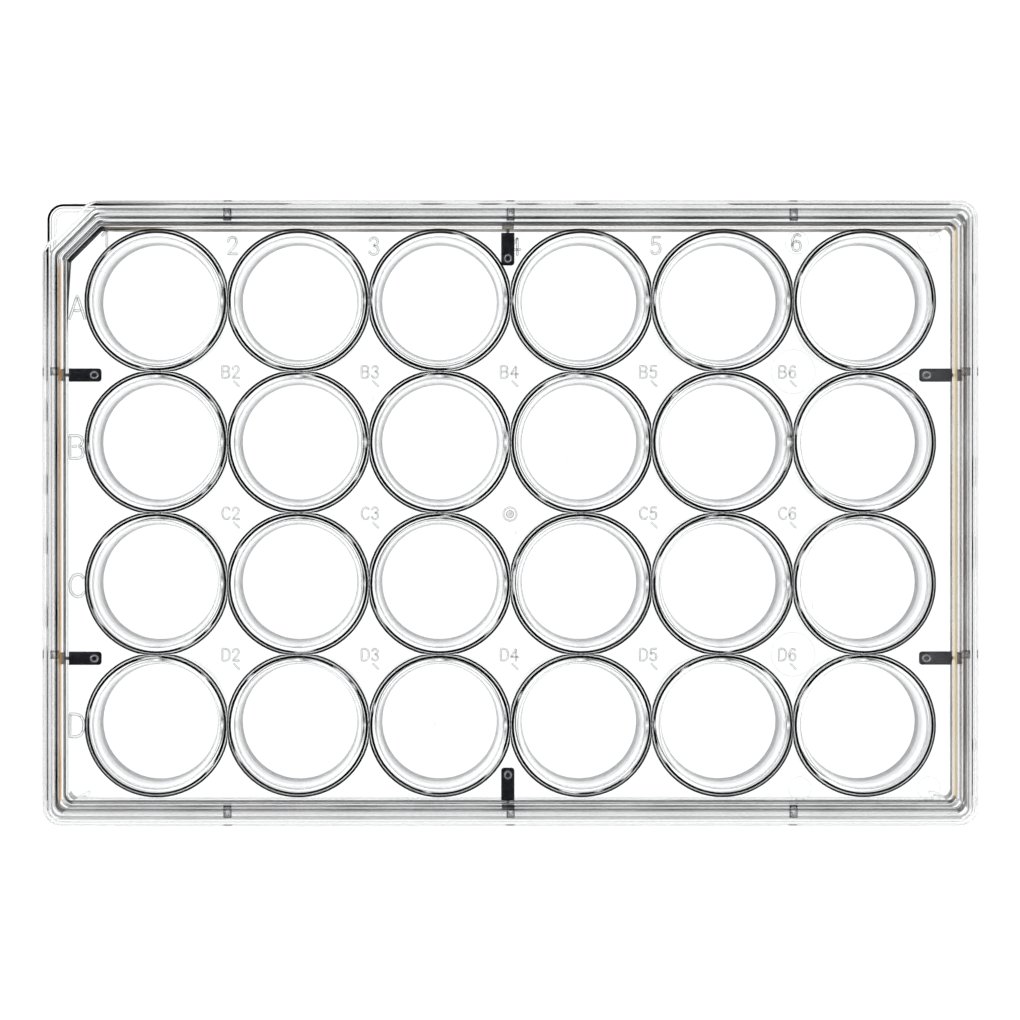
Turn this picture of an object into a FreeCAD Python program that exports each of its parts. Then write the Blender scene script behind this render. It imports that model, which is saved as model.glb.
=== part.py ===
"""24-well culture plate with its lid, built from one table of driving sizes.

Frame: origin at the centre of the footprint on the table, +X along the six columns,
+Y from row D to row A, +Z up; millimetres. Well A1 is at -X, +Y, beside the chamfered corner.
"""
import FreeCAD
import Part
import math
import os

doc = FreeCAD.newDocument("WellPlate")

# ---------------------------------------------------------------- driving sizes
SIZES = (
    ("foot_x", 127.76, "footprint, long side"),
    ("foot_y", 85.48, "footprint, short side"),
    ("foot_corner", 2.60, "outside corner of the skirt and of the lid"),
    ("skirt_wall", 1.10, "wall of the skirt"),
    ("skirt_draft", 0.20, "how far the skirt leans in, per side, up to the shelf"),
    ("shelf_z", 12.40, "top of the shelf under the lid's edge"),
    ("shelf_floor", 1.20, "thickness of the shelf"),
    ("upper_in_x", 1.83, "upper wall inside the footprint, on the short sides"),
    ("upper_in_y", 2.20, "upper wall inside the footprint, on the long sides"),
    ("upper_wall", 1.50, "wall of the upper wall"),
    ("upper_corner", 2.00, "outside corner of the upper wall"),
    ("wall_top_z", 20.00, "top of the upper wall and of the well rims"),
    ("deck_z", 18.80, "top of the deck between the wells"),
    ("deck_floor", 1.30, "thickness of the deck"),
    ("cut_leg", 6.60, "leg of the chamfer at the A1 corner of the lid"),
    ("pitch", 19.30, "well to well, both ways"),
    ("bore_top", 8.65, "well radius at the mouth"),
    ("bore_taper", 0.70, "radius that a well loses from its mouth to its floor"),
    ("rim_land", 0.72, "wall of a well at its mouth, the flat top of its rim"),
    ("well_floor_z", 2.60, "top of a well floor"),
    ("well_floor", 1.30, "thickness of a well floor"),
    ("web_wide", 1.20, "webs between neighbouring wells"),
    ("web_foot_z", 5.00, "lower edge of the webs"),
    ("lid_clear_z", 0.50, "lid panel above the upper wall"),
    ("lid_panel", 1.10, "thickness of the lid panel"),
    ("lid_wall", 1.10, "wall of the lid"),
    ("lid_edge_z", 13.20, "lower edge of the lid wall"),
    ("lid_in", 0.05, "lid inside the footprint"),
    ("ridge_in", 2.35, "stacking ridge inside the lid's outline"),
    ("ridge_wide", 1.00, "width of the stacking ridge"),
    ("ridge_tall", 0.70, "height of the stacking ridge"),
    ("tab_wide", 1.65, "spacer tabs under the lid"),
    ("tab_reach", 4.80, "tab beyond the inside of the upper wall"),
    ("tab_deep", 0.70, "tab below the top of the upper wall, at its root"),
    ("tab_tip", 0.20, "tab below the top of the upper wall, at its free end"),
    ("tab_clear", 0.35, "tab root clear of the upper wall"),
    ("rib_wide", 1.10, "centring ribs inside the lid wall"),
    ("rib_clear", 0.25, "ribs clear of the upper wall"),
)
COLUMNS = 6
ROWS = 4

sheet = doc.addObject("Spreadsheet::Sheet", "Sizes")
for line, (word, value, note) in enumerate(SIZES, start=1):
    sheet.set("A%d" % line, note)
    sheet.set("B%d" % line, repr(value))
    sheet.setAlias("B%d" % line, word)
doc.recompute()
SIZE = {word: value for word, value, note in SIZES}


def origin_plane(body, role):
    """The body's own origin plane with this role."""
    for feature in body.Origin.OriginFeatures:
        if feature.Role == role:
            return feature
    raise ValueError(role)


def new_sketch(body, name, role="XY_Plane", level=None):
    """An empty sketch on a plane of the body, lifted by an expression along its normal."""
    sketch = body.newObject("Sketcher::SketchObject", name)
    sketch.AttachmentSupport = [(origin_plane(body, role), "")]
    sketch.MapMode = "FlatFace"
    if level is not None:
        sketch.setExpression("AttachmentOffset.Base.z", level)
    return sketch


def cut_corner(half_x, half_y, leg, radius):
    """Outline points of a rectangle whose -X +Y corner is cut at 45 degrees.

    Returns a list of (x, y, corner radius), counter-clockwise.
    """
    points = [(-half_x, -half_y, radius), (half_x, -half_y, radius), (half_x, half_y, radius)]
    if leg <= 0:
        return points + [(-half_x, half_y, radius)]
    return points + [(-half_x + leg, half_y, radius), (-half_x, half_y - leg, radius)]


def rounded(points):
    """Lines and arcs round a polygon whose corners carry their own radius."""
    count = len(points)
    joints = []
    for i in range(count):
        x, y, radius = points[i]
        here = FreeCAD.Vector(x, y, 0)
        back = FreeCAD.Vector(*points[i - 1][:2], 0) - here
        ahead = FreeCAD.Vector(*points[(i + 1) % count][:2], 0) - here
        back.normalize()
        ahead.normalize()
        half = back.getAngle(ahead) / 2
        reach = radius / math.tan(half)
        middle = (back + ahead).normalize()
        centre = here + middle * (radius / math.sin(half))
        nearest = centre - middle * radius
        joints.append((here + back * reach, nearest, here + ahead * reach))
    pieces = []
    for i in range(count):
        start, nearest, end = joints[i]
        pieces.append(Part.Arc(start, nearest, end))
        pieces.append(Part.LineSegment(end, joints[(i + 1) % count][0]))
    return pieces


def polygon(points):
    """Straight closed outline through (x, y) points."""
    corners = [FreeCAD.Vector(x, y, 0) for x, y in points]
    return [Part.LineSegment(a, b) for a, b in zip(corners, corners[1:] + corners[:1])]


def box_outline(x0, y0, x1, y1):
    return polygon([(x0, y0), (x1, y0), (x1, y1), (x0, y1)])


def pad(body, name, sketch, length, reverse=False):
    """Pad a sketch by an expression."""
    feature = body.newObject("PartDesign::Pad", name)
    feature.Profile = sketch
    feature.setExpression("Length", length)
    feature.Reversed = reverse
    sketch.Visibility = False
    doc.recompute()
    return feature


def pocket(body, name, sketch, length, reverse=False):
    """Pocket a sketch by an expression; reversed cuts along +normal."""
    before = body.Tip.Shape.Volume
    feature = body.newObject("PartDesign::Pocket", name)
    feature.Profile = sketch
    feature.setExpression("Length", length)
    feature.Reversed = reverse
    sketch.Visibility = False
    doc.recompute()
    if feature.Shape.Volume >= before - 1e-3:
        raise ValueError("%s cuts nothing" % name)
    return feature


def grid(body, name, originals, count_x, count_y):
    """Repeat features over the wells: count_x along +X and count_y along +Y."""
    transform = body.newObject("PartDesign::MultiTransform", name)
    transform.Originals = originals
    steps = []
    for axis, count in (("X_Axis", count_x), ("Y_Axis", count_y)):
        if count < 2:
            continue
        step = body.newObject("PartDesign::LinearPattern", "%s_%s" % (name, axis[0]))
        step.Direction = (origin_plane(body, axis), [""])
        step.setExpression("Length", "Sizes.pitch * %d" % (count - 1))
        step.Occurrences = count
        steps.append(step)
    transform.Transformations = steps
    body.Tip = transform
    doc.recompute()
    return transform


half_x = SIZE["foot_x"] / 2
half_y = SIZE["foot_y"] / 2
lid_x = half_x - SIZE["lid_in"]
lid_y = half_y - SIZE["lid_in"]
SHRINK = 2 - math.sqrt(2)  # a 45 degree cut loses this much leg per unit of inset
upper_x = half_x - SIZE["upper_in_x"]
upper_y = half_y - SIZE["upper_in_y"]
upper_leg = SIZE["cut_leg"] - SHRINK * (lid_x - upper_x)
first_x = -SIZE["pitch"] * (COLUMNS - 1) / 2
first_y = -SIZE["pitch"] * (ROWS - 1) / 2


def inset(hx, hy, leg, radius, step):
    """The same outline moved inwards by step, as cut_corner arguments."""
    return hx - step, hy - step, (leg - SHRINK * step if leg > 0 else 0), max(radius - step, 0.4)


# ---------------------------------------------------------------- the plate
plate = doc.addObject("PartDesign::Body", "plate")

foot = new_sketch(plate, "FootOutline")
foot.addGeometry(rounded(cut_corner(half_x, half_y, 0, SIZE["foot_corner"])))
shelf_outline = new_sketch(plate, "ShelfOutline", level="Sizes.shelf_z")
lean = SIZE["skirt_draft"]
shelf_outline.addGeometry(rounded(cut_corner(half_x - lean, half_y - lean, 0, SIZE["foot_corner"])))
doc.recompute()
skirt = plate.newObject("PartDesign::AdditiveLoft", "Skirt")
skirt.Profile = foot
skirt.Sections = [shelf_outline]
skirt.Ruled = True
doc.recompute()

upper = new_sketch(plate, "UpperOutline", level="Sizes.shelf_z - Sizes.shelf_floor")
upper_edge = (upper_x, upper_y, upper_leg, SIZE["upper_corner"])
upper.addGeometry(rounded(cut_corner(*upper_edge)))
pad(plate, "UpperWall", upper, "Sizes.wall_top_z - Sizes.shelf_z + Sizes.shelf_floor")

inner_edge = inset(*upper_edge, SIZE["upper_wall"])
recess = new_sketch(plate, "DeckOutline", level="Sizes.wall_top_z")
recess.addGeometry(rounded(cut_corner(*inner_edge)))
pocket(plate, "DeckRecess", recess, "Sizes.wall_top_z - Sizes.deck_z")

hollow = new_sketch(plate, "SkirtHollow")
skirt_edge = (half_x - lean, half_y - lean, 0, SIZE["foot_corner"])
hollow.addGeometry(rounded(cut_corner(*inset(*skirt_edge, SIZE["skirt_wall"]))))
pocket(plate, "SkirtInside", hollow, "Sizes.shelf_z - Sizes.shelf_floor", reverse=True)

under = new_sketch(plate, "DeckHollow")
under.addGeometry(rounded(cut_corner(*inner_edge)))
pocket(plate, "DeckInside", under, "Sizes.deck_z - Sizes.deck_floor", reverse=True)


FIRST_X = "-Sizes.pitch * %g" % ((COLUMNS - 1) / 2)
FIRST_Y = "-Sizes.pitch * %g" % ((ROWS - 1) / 2)


def well_circle(name, radius, level, spline=False):
    """A sketch holding one circle on the axis of the first well."""
    ring = new_sketch(plate, name, level=level)
    ring.setExpression("AttachmentOffset.Base.x", FIRST_X)
    ring.setExpression("AttachmentOffset.Base.y", FIRST_Y)
    circle = Part.Circle(FreeCAD.Vector(), FreeCAD.Vector(0, 0, 1), radius)
    ring.addGeometry(circle.toBSpline() if spline else circle)
    return ring


rim_radius = SIZE["bore_top"] + SIZE["rim_land"]
cup_edge = well_circle("CupOutline", rim_radius, "Sizes.well_floor_z - Sizes.well_floor")
cup = pad(plate, "Cup", cup_edge, "Sizes.wall_top_z - Sizes.well_floor_z + Sizes.well_floor")
grid(plate, "Cups", [cup], COLUMNS, ROWS)

web = SIZE["web_wide"] / 2
row_webs = new_sketch(plate, "RowWeb", level="Sizes.web_foot_z")
row_webs.addGeometry(box_outline(first_x, first_y - web, -first_x, first_y + web))
bar = pad(plate, "RowWebs", row_webs, "Sizes.deck_z - Sizes.web_foot_z - 0.2")
grid(plate, "RowWebGrid", [bar], 1, ROWS)
column_webs = new_sketch(plate, "ColumnWeb", level="Sizes.web_foot_z")
column_webs.addGeometry(box_outline(first_x - web, first_y, first_x + web, -first_y))
bar = pad(plate, "ColumnWebs", column_webs, "Sizes.deck_z - Sizes.web_foot_z - 0.2")
grid(plate, "ColumnWebGrid", [bar], COLUMNS, 1)
wall_webs = new_sketch(plate, "WallWeb", level="Sizes.shelf_z")
for column in (1, COLUMNS - 2):
    x = first_x + column * SIZE["pitch"]
    wall_webs.addGeometry(box_outline(x - web, -upper_y + 0.3, x + web, upper_y - 0.3))
pad(plate, "WallWebs", wall_webs, "Sizes.deck_z - Sizes.shelf_z - 0.2")

# The bore tapers from mouth to floor; its circles are splines, so the taper is one light ruled face.
bore_floor = well_circle("BoreFloor", SIZE["bore_top"] - SIZE["bore_taper"], "Sizes.well_floor_z", spline=True)
bore_mouth = well_circle("BoreMouth", SIZE["bore_top"], "Sizes.wall_top_z", spline=True)
doc.recompute()
bore = plate.newObject("PartDesign::SubtractiveLoft", "Bore")
bore.Profile = bore_floor
bore.Sections = [bore_mouth]
bore.Ruled = True
doc.recompute()
grid(plate, "Bores", [bore], COLUMNS, ROWS)

# ---------------------------------------------------------------- the lid
lid = doc.addObject("PartDesign::Body", "lid")
panel_z = SIZE["wall_top_z"] + SIZE["lid_clear_z"]
TOP = "Sizes.wall_top_z + Sizes.lid_clear_z + Sizes.lid_panel"

shell = new_sketch(lid, "LidOutline", level="Sizes.lid_edge_z")
lid_edge = (lid_x, lid_y, SIZE["cut_leg"], SIZE["foot_corner"])
shell.addGeometry(rounded(cut_corner(*lid_edge)))
pad(lid, "LidShell", shell, TOP + " - Sizes.lid_edge_z")

inside = new_sketch(lid, "LidInside", level="Sizes.lid_edge_z")
inside.addGeometry(rounded(cut_corner(*inset(*lid_edge, SIZE["lid_wall"]))))
pocket(lid, "LidHollow", inside, "Sizes.wall_top_z + Sizes.lid_clear_z - Sizes.lid_edge_z", reverse=True)

ridge = new_sketch(lid, "RidgeOutline", level=TOP + " - 0.2")
for step in (SIZE["ridge_in"], SIZE["ridge_in"] + SIZE["ridge_wide"]):
    ridge.addGeometry(rounded(cut_corner(*inset(*lid_edge, step))))
pad(lid, "StackingRidge", ridge, "Sizes.ridge_tall + 0.2")


def tab_profile(wall_face, upper_inner):
    """Side view of one tab: u outwards from the plate's middle, z up."""
    root = upper_inner - SIZE["tab_clear"]
    tip = upper_inner - SIZE["tab_reach"]
    top_z = SIZE["wall_top_z"]
    return [
        (wall_face + 0.3, top_z),
        (wall_face + 0.3, panel_z + 0.3),
        (tip, panel_z + 0.3),
        (tip, top_z - SIZE["tab_tip"]),
        (root, top_z - SIZE["tab_deep"]),
        (root, top_z),
    ]


inner_x = lid_x - SIZE["lid_wall"]
inner_y = lid_y - SIZE["lid_wall"]
deck_x = upper_x - SIZE["upper_wall"]
deck_y = upper_y - SIZE["upper_wall"]
row_gap = SIZE["pitch"]
for side, sign in (("Left", -1), ("Right", 1)):
    for place, y in (("Upper", row_gap), ("Lower", -row_gap)):
        tab = new_sketch(lid, "Tab%s%sSide" % (side, place), role="XZ_Plane")
        tab.addGeometry(polygon([(sign * u, z) for u, z in tab_profile(inner_x, deck_x)]))
        tab.setExpression("AttachmentOffset.Base.z", "%s Sizes.pitch" % ("-" if y > 0 else ""))
        lug = pad(lid, "Tab%s%s" % (side, place), tab, "Sizes.tab_wide")
        lug.Midplane = True
        doc.recompute()
for side, sign in (("Back", 1), ("Front", -1)):
    tab = new_sketch(lid, "Tab%sSide" % side, role="YZ_Plane")
    tab.addGeometry(polygon([(sign * u, z) for u, z in tab_profile(inner_y, deck_y)]))
    lug = pad(lid, "Tab%s" % side, tab, "Sizes.tab_wide")
    lug.Midplane = True
    doc.recompute()

rib = SIZE["rib_wide"] / 2
rib_places = new_sketch(lid, "RibOutlines", level="Sizes.lid_edge_z + 1")
for x in (-2 * SIZE["pitch"], 0, 2 * SIZE["pitch"]):
    for sign in (-1, 1):
        near, far = sorted((sign * (upper_y + SIZE["rib_clear"]), sign * (inner_y + 0.3)))
        rib_places.addGeometry(box_outline(x - rib, near, x + rib, far))
for y in (-SIZE["pitch"], SIZE["pitch"]):
    for sign in (-1, 1):
        near, far = sorted((sign * (upper_x + SIZE["rib_clear"]), sign * (inner_x + 0.3)))
        rib_places.addGeometry(box_outline(near, y - rib, far, y + rib))
pad(lid, "CentringRibs", rib_places, "Sizes.wall_top_z + Sizes.lid_clear_z - Sizes.lid_edge_z - 0.9")

doc.recompute()
os.makedirs("parts", exist_ok=True)
for item in doc.Objects:
    if any(word in item.State for word in ("Invalid", "Error")):
        raise ValueError("%s: %s" % (item.Name, item.State))
for body in (plate, lid):
    shape = body.Shape
    if shape.isNull() or not shape.isValid() or len(shape.Solids) != 1:
        raise ValueError("%s is not one valid solid" % body.Name)
    body.Label = body.Name
    box = shape.BoundBox
    print("%s %.2f x %.2f x %.2f mm, z %.2f to %.2f, %.0f mm3, %d faces" % (
        body.Name, box.XLength, box.YLength, box.ZLength, box.ZMin, box.ZMax, shape.Volume, len(shape.Faces)))
    shape.exportStep(os.path.join("parts", body.Name + ".step"))
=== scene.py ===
"""A clear 24-well culture plate with its loose lid, on a pale table under soft light."""
import logging
import math
from collections.abc import Callable
from dataclasses import dataclass
from enum import Enum

import bpy
import numpy as np
from mathutils import Matrix, Vector


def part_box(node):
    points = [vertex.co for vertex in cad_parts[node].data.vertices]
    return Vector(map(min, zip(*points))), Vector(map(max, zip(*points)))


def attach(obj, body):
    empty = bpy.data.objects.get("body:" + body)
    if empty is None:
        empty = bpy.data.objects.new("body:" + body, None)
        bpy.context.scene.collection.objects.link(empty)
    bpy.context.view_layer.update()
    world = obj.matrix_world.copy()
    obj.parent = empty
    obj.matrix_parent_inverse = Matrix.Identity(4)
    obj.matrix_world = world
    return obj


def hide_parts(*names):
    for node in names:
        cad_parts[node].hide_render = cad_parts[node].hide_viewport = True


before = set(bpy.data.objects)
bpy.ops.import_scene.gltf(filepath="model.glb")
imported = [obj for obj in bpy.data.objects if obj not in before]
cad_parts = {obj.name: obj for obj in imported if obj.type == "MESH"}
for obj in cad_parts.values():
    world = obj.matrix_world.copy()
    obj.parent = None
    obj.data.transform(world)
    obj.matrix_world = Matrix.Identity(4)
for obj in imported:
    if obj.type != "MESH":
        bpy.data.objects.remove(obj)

LOG = logging.getLogger("well_plate")
MM = 0.001  # all sizes below are in millimetres; frames and meshes are in metres
SHRINK = 2 - math.sqrt(2)  # a 45 degree cut loses this much leg per unit of inset
COLUMNS = 6
ROWS = 4
PITCH = 19.3
SIDE = 18  # steps along one side of a well's cell
WELL_STEPS = 4 * SIDE
ARC = 12  # steps round a full corner of an outline
CUT = 6  # steps along the cut of the A1 corner and along each of its two small arcs
HOLD = 0.03  # a flat stays flat up to this distance from a rounded edge
SEAM = 0.02  # gap between two mouldings or pieces that would otherwise share a face
GRAIN = 1e-4  # points nearer than this are welded into one
LIFT = 0.004  # the edges of a raised line stand this far above the surface
SQUEEZE = 0.92  # rings squeezed in beside a neighbour fill this much of the room there


class Tone(Enum):
    """Painted shade and painted colour fringes: how clear plastic looks along an edge or a stressed
    place.

    Each is a colour, how much of it hides the clearness, and how much of it shows at a glancing angle.
    """

    CLEAR = (0.90, 0.90, 0.90, 0.0, 0.0)
    # painted shade on a bore, shown only at a glancing angle
    GLANCE_SHADE = (0.38, 0.39, 0.41, 0.0, 0.60)
    # painted shade of rising depth, down to the black of LINE
    FAINT = (0.40, 0.40, 0.42, 0.12, 0.0)
    PALE = (0.30, 0.30, 0.32, 0.30, 0.0)
    SHADE_MID = (0.12, 0.12, 0.13, 0.62, 0.0)
    SHADE_DEEP = (0.05, 0.05, 0.055, 0.80, 0.0)
    DARK = (0.012, 0.012, 0.016, 0.95, 0.0)
    LINE = (0.002, 0.002, 0.002, 1.0, 0.0)
    # painted shade on a rim beside a web
    BESIDE_WEB_SHADE = (0.04, 0.04, 0.05, 1.0, 0.0)
    STEEL = (0.20, 0.22, 0.25, 0.60, 0.0)
    # painted colour fringes along the lid's border
    WARM = (0.52, 0.24, 0.01, 0.86, 0.0)
    CREAM = (0.90, 0.70, 0.36, 0.55, 0.0)
    BROWN = (0.10, 0.05, 0.02, 0.80, 0.0)

    def hiding(self, amount: float) -> np.ndarray:
        """The same tone with another amount of hiding."""
        return np.array((*self.value[:3], amount, self.value[4]))


Profile = list[tuple[float, float, Tone]]


def bend(start: tuple[float, float], corner: tuple[float, float], end: tuple[float, float],
         steps: int = 4, tone: Tone = Tone.CLEAR) -> Profile:
    """A rounded corner of a profile: a quadratic curve, tangent to both legs where it meets them.

    Args:
        start: where the rounding begins.
        corner: the sharp corner.
        end: where it ends.
        steps: pieces of the curve.
        tone: the tone of the rounding.

    Returns:
        The curve's points with a holding point on each leg, just outside it.
    """
    a, b, c = np.array(start), np.array(corner), np.array(end)
    t = np.linspace(0, 1, steps + 1)[:, None]
    curve = (1 - t) ** 2 * a + 2 * t * (1 - t) * b + t ** 2 * c
    before = a - (b - a) / np.linalg.norm(b - a) * HOLD
    after = c + (c - b) / np.linalg.norm(c - b) * HOLD
    return [(*before, Tone.CLEAR), *((*point, tone) for point in curve), (*after, Tone.CLEAR)]


def tone_rows(tones: list[Tone], width: int) -> np.ndarray:
    """The tones of a grid's rows as an array of rows by columns by 5."""
    return np.repeat(np.array([tone.value for tone in tones])[:, None], width, axis=1)


# ------------------------------------------------------------------ meshes


class Skin:
    """Grids of points that are welded into one closed surface. Sizes are in millimetres."""

    def __init__(self) -> None:
        """Starts with no points."""
        self.points: list[np.ndarray] = []
        self.tones: list[np.ndarray] = []
        self.faces: list[np.ndarray] = []
        self.count = 0

    def grid(self, rows: np.ndarray, tones: list[Tone] | np.ndarray | None = None, wrap: bool = True,
             flip: bool = False) -> None:
        """Adds a grid of quads, four neighbouring points each.

        Args:
            rows: points as an array of rows by columns by 3.
            tones: one tone for each row, or an array of rows by columns by 5.
            wrap: joins the last column to the first.
            flip: turns the faces the other way.
        """
        height, width = rows.shape[:2]
        index = self.count + np.arange(height * width).reshape(height, width)
        ahead = np.roll(index, -1, axis=1) if wrap else index[:, 1:]
        here = index if wrap else index[:, :-1]
        quads = np.stack([here[:-1], ahead[:-1], ahead[1:], here[1:]], axis=-1).reshape(-1, 4)
        if not isinstance(tones, np.ndarray):
            tones = tone_rows(tones or [Tone.CLEAR] * height, width)
        self.points.append(rows.reshape(-1, 3))
        self.tones.append(tones.reshape(-1, 5))
        self.faces.append(quads[:, ::-1] if flip else quads)
        self.count += height * width

    def block(self, outline: np.ndarray, low: np.ndarray | float, high: float, edge: float = 0.08,
              tones: tuple[Tone, Tone] = (Tone.CLEAR, Tone.CLEAR)) -> None:
        """Adds a closed block with rounded top edges.

        Args:
            outline: a convex loop, counter-clockwise seen from above, count by 2.
            low: height of the bottom, for each point of the loop or for all of them.
            high: height of the top.
            edge: size of the rounding.
            tones: the painted shade of the top, and of its edge and sides.
        """
        middle = outline.mean(axis=0)
        reach = np.linalg.norm(outline - middle, axis=1)[:, None]
        inner = middle + (outline - middle) * (1 - edge / reach)
        low = np.broadcast_to(low, len(outline))
        levels = [
            (np.broadcast_to(middle, outline.shape), high), (inner, high),
            (outline * 0.7 + inner * 0.3, high - edge * 0.3), (outline, high - edge),
            (outline, low), (np.broadcast_to(middle, outline.shape), low.mean()),
        ]
        rows = np.stack([np.column_stack([flat, np.broadcast_to(z, len(flat))]) for flat, z in levels])
        self.grid(rows, [tones[0]] * 2 + [tones[1]] * 3 + [tones[0]], flip=True)

    def bead(self, path: np.ndarray, z: float, half: float, tall: float, closed: bool = False,
             tone: Tone = Tone.CLEAR) -> None:
        """Adds a raised line: a low half-round carried along a path, with rounded ends.

        Args:
            path: points in plan, count by 2.
            z: height of the surface that it stands on.
            half: half its width.
            tall: its height.
            closed: joins the end of the path to its start.
            tone: the painted shade of its two edges.
        """
        ahead, behind = np.roll(path, -1, axis=0), np.roll(path, 1, axis=0)
        if not closed:
            ahead[-1], behind[0] = path[-1], path[0]
        along = ahead - behind
        along /= np.linalg.norm(along, axis=1)[:, None]
        scale = np.ones(len(path))
        if not closed:
            turn = np.radians([90, 60, 30])
            path = np.concatenate([path[0] - along[0] * half * np.sin(turn)[:, None], path,
                                   path[-1] + along[-1] * half * np.sin(turn[::-1])[:, None]])
            along = np.concatenate([np.repeat(along[:1], len(turn), axis=0), along,
                                    np.repeat(along[-1:], len(turn), axis=0)])
            scale = np.concatenate([np.cos(turn), scale, np.cos(turn[::-1])])
        side = np.column_stack([along[:, 1], -along[:, 0]])
        angle = np.radians([0, 25, 60, 90, 120, 155, 180])
        across = np.append(np.cos(angle), 0.0)
        rise = np.append(np.sin(angle), 0.0) * tall
        rows = np.stack([
            np.column_stack([path + side * (offset * half * scale)[:, None], z + LIFT + height * scale])
            for offset, height in zip(across, rise)
        ])
        tones = [tone] * 2 + [Tone.CLEAR] * 3 + [tone] * 2 + [Tone.CLEAR, tone]
        self.grid(np.concatenate([rows, rows[:1]]), tones, wrap=closed, flip=True)

    def mesh(self, name: str) -> bpy.types.Object:
        """Welds the grids and returns the piece, linked to the scene.

        A face that the welding closes up becomes a triangle, or goes where less than that is left.

        Args:
            name: the piece's name.

        Returns:
            The object, at the origin.
        """
        points, tones = np.concatenate(self.points), np.concatenate(self.tones)
        keys = np.round(points / GRAIN).astype(np.int64)
        _, first, where = np.unique(keys, axis=0, return_index=True, return_inverse=True)
        faces = where.reshape(-1)[np.concatenate(self.faces)]
        same = faces == np.roll(faces, -1, axis=1)
        fours = faces[~same.any(axis=1)].tolist()
        closed = same.sum(axis=1) == 1
        threes = faces[closed][~same[closed]].reshape(-1, 3).tolist()
        data = bpy.data.meshes.new(name)
        data.from_pydata((points[first] * MM).tolist(), [], fours + threes)
        tone = data.attributes.new("tone", "FLOAT_COLOR", "POINT")
        tone.data.foreach_set("color", tones[first][:, :4].ravel())
        glance = data.attributes.new("glance", "FLOAT", "POINT")
        glance.data.foreach_set("value", tones[first][:, 4])
        data.validate()
        data.shade_smooth()
        piece = bpy.data.objects.new(name, data)
        bpy.context.scene.collection.objects.link(piece)
        LOG.info("%s: %d points, %d faces", name, len(data.vertices), len(data.polygons))
        return piece


@dataclass(frozen=True)
class Outline:
    """A rounded rectangle with its -X +Y corner cut at 45 degrees; all outlines have matching points."""

    half_x: float
    half_y: float
    leg: float
    radius: float

    def inset(self, step: float, least: float = 0.35) -> "Outline":
        """The same outline moved inwards; a corner without a cut stays round.

        Args:
            step: the distance inwards.
            least: the corner radius doesn't fall below this.

        Returns:
            The new outline.
        """
        radius = max(self.radius - step, least)
        leg = self.leg - SHRINK * step
        if self.leg <= SHRINK * self.radius + 1e-9:
            leg = SHRINK * radius
        return Outline(self.half_x - step, self.half_y - step, leg, radius)

    def points(self) -> np.ndarray:
        """Circular arcs at the corners, joined by straight runs of even steps.

        Returns:
            The loop, counter-clockwise from the middle of the -X -Y corner, 20 * SIDE by 2.
        """
        hx, hy, r, leg = self.half_x, self.half_y, self.radius, self.leg
        knee = r * math.tan(math.pi / 8)
        arcs = [
            ((-hx + r, -hy + r), 225, 270, ARC // 2), ((hx - r, -hy + r), 270, 360, ARC),
            ((hx - r, hy - r), 0, 90, ARC), ((-hx + leg + knee, hy - r), 90, 135, CUT),
            ((-hx + r, hy - leg - knee), 135, 180, CUT), ((-hx + r, -hy + r), 180, 225, ARC // 2),
        ]
        beside = ARC // 2 + 3 * CUT // 2
        straight = [COLUMNS * SIDE - ARC, ROWS * SIDE - ARC, COLUMNS * SIDE - beside, CUT,
                    ROWS * SIDE - beside, 0]
        loop: list[np.ndarray] = []
        for i, ((cx, cy), start, end, steps) in enumerate(arcs):
            angle = np.radians(np.linspace(start, end, steps + 1))
            arc = np.stack([cx + r * np.cos(angle), cy + r * np.sin(angle)], axis=1)
            loop.append(arc[:-1] if straight[i] == 0 else arc)
            if straight[i]:
                (nx, ny), begin = arcs[i + 1][0], math.radians(arcs[i + 1][1])
                target = np.array([nx + r * math.cos(begin), ny + r * math.sin(begin)])
                t = np.linspace(0, 1, straight[i] + 1)[1:-1, None]
                loop.append(arc[-1] * (1 - t) + target * t)
        return np.concatenate(loop)

    def level(self, z: float) -> np.ndarray:
        """The loop at one height, as points by 3."""
        flat = self.points()
        return np.column_stack([flat, np.full(len(flat), z)])


def loops(outline: Outline, profile: Profile) -> tuple[list[np.ndarray], list[Tone]]:
    """The loops and tones of a profile given as inset from an outline and height."""
    return [outline.inset(step).level(z) for step, z, _ in profile], [tone for _, _, tone in profile]


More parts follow.
